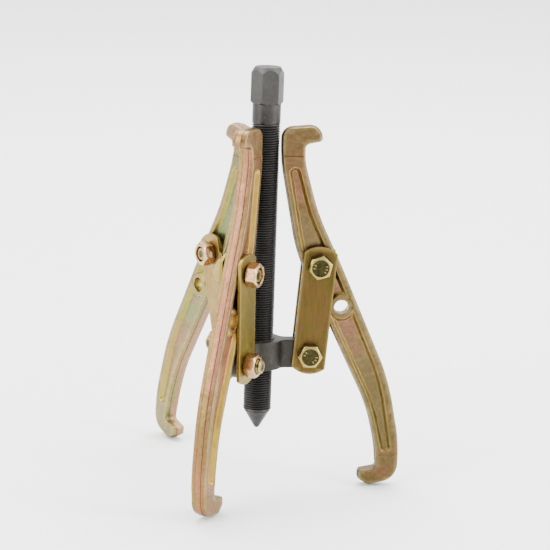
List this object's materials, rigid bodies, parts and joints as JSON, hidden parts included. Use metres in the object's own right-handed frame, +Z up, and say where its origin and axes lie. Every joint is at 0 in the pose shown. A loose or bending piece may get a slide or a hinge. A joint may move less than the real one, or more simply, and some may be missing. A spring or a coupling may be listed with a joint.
{
  "type": "gear puller",
  "caption": "Forged gear puller: a hex-headed forcing screw through a star yoke, with reversible hooked jaws bolted between pairs of strap links.",
  "frame": {"origin": "the tip of the forcing screw's point at rest, on the screw axis", "axes": "+Z up along the forcing screw from its point to its hexagon; +X within five degrees of the arm named b; arms a, b and c follow one another counter-clockwise seen from above"},
  "size_m": [0.2136, 0.228, 0.3571],
  "materials": {
    "yoke_steel": "blackened, machined top, matt",
    "screw_steel": "black oxide, oiled",
    "point_steel": "black oxide, turned and hardened",
    "jaw_zinc": "drop forged, yellow zinc, satin with rainbow tints",
    "link_zinc": "rolled strip, yellow zinc, satin",
    "bolt_zinc": "yellow zinc, satin",
    "nut_zinc": "yellow zinc with copper tint, bright"
  },
  "bodies": {
    "yoke": {"yoke": "yoke_steel"},
    "point": {"screw_point": "point_steel"},
    "screw": {"forcing_screw": "screw_steel"},
    "link_a": {"link_a_head_side": "link_zinc", "link_a_nut_side": "link_zinc", "lower_bolt_a": "bolt_zinc", "lower_nut_a": "nut_zinc"},
    "upper_pin_a": {"upper_bolt_a": "bolt_zinc", "upper_nut_a": "nut_zinc"},
    "jaw_a": {"jaw_a": "jaw_zinc"},
    "link_b": {"link_b_head_side": "link_zinc", "link_b_nut_side": "link_zinc", "lower_bolt_b": "bolt_zinc", "lower_nut_b": "nut_zinc"},
    "upper_pin_b": {"upper_bolt_b": "bolt_zinc", "upper_nut_b": "nut_zinc"},
    "jaw_b": {"jaw_b": "jaw_zinc"},
    "link_c": {"link_c_head_side": "link_zinc", "link_c_nut_side": "link_zinc", "lower_bolt_c": "bolt_zinc", "lower_nut_c": "nut_zinc"},
    "upper_pin_c": {"upper_bolt_c": "bolt_zinc", "upper_nut_c": "nut_zinc"},
    "jaw_c": {"jaw_c": "jaw_zinc"}
  },
  "joints": [
    {"name": "screw_travel", "type": "slide", "parent": "yoke", "child": "point", "axis": [0, 0, 1], "range_m": [-0.015, 0.036]},
    {"name": "screw_turn", "type": "hinge", "parent": "point", "child": "screw", "pos_m": [0, 0, 0.03], "axis": [0, 0, 1], "range_deg": [-2700, 6480]},
    {"name": "link_swing_a", "type": "hinge", "parent": "yoke", "child": "link_a", "pos_m": [-0.01789, -0.03767, 0.0661], "axis": [0.9033, -0.4289, 0], "range_deg": [0, 28]},
    {"name": "pin_turn_a", "type": "hinge", "parent": "link_a", "child": "upper_pin_a", "pos_m": [-0.01905, -0.04012, 0.14205], "axis": [-0.9033, 0.4289, 0], "range_deg": [0, 48.45]},
    {"name": "jaw_swing_a", "type": "hinge", "parent": "upper_pin_a", "child": "jaw_a", "pos_m": [-0.01905, -0.04012, 0.14205], "axis": [-0.9033, 0.4289, 0], "range_deg": [-3.5, 2.5]},
    {"name": "link_swing_b", "type": "hinge", "parent": "yoke", "child": "link_b", "pos_m": [0.04157, 0.00334, 0.0661], "axis": [-0.0802, 0.9968, 0], "range_deg": [-2, 28]},
    {"name": "pin_turn_b", "type": "hinge", "parent": "link_b", "child": "upper_pin_b", "pos_m": [0.04731, 0.00381, 0.14188], "axis": [0.0802, -0.9968, 0], "range_deg": [-3.47, 48.45]},
    {"name": "jaw_swing_b", "type": "hinge", "parent": "upper_pin_b", "child": "jaw_b", "pos_m": [0.04731, 0.00381, 0.14188], "axis": [0.0802, -0.9968, 0], "range_deg": [-6, 0]},
    {"name": "link_swing_c", "type": "hinge", "parent": "yoke", "child": "link_c", "pos_m": [-0.02368, 0.03432, 0.0661], "axis": [-0.8231, -0.5678, 0], "range_deg": [-12, 14]},
    {"name": "pin_turn_c", "type": "hinge", "parent": "link_c", "child": "upper_pin_c", "pos_m": [-0.03608, 0.0523, 0.13889], "axis": [0.8231, 0.5678, 0], "range_deg": [-20.77, 24.23]},
    {"name": "jaw_swing_c", "type": "hinge", "parent": "upper_pin_c", "child": "jaw_c", "pos_m": [-0.03608, 0.0523, 0.13889], "axis": [0.8231, 0.5678, 0], "range_deg": [-7.5, 3]}
  ],
  "couplings": [
    {"joint": "screw_travel", "follows": "screw_turn", "m_per_rad": 0.00031831},
    {"joint": "pin_turn_a", "follows": "link_swing_a", "ratio": 1.73},
    {"joint": "pin_turn_b", "follows": "link_swing_b", "ratio": 1.73},
    {"joint": "pin_turn_c", "follows": "link_swing_c", "ratio": 1.73}
  ]
}
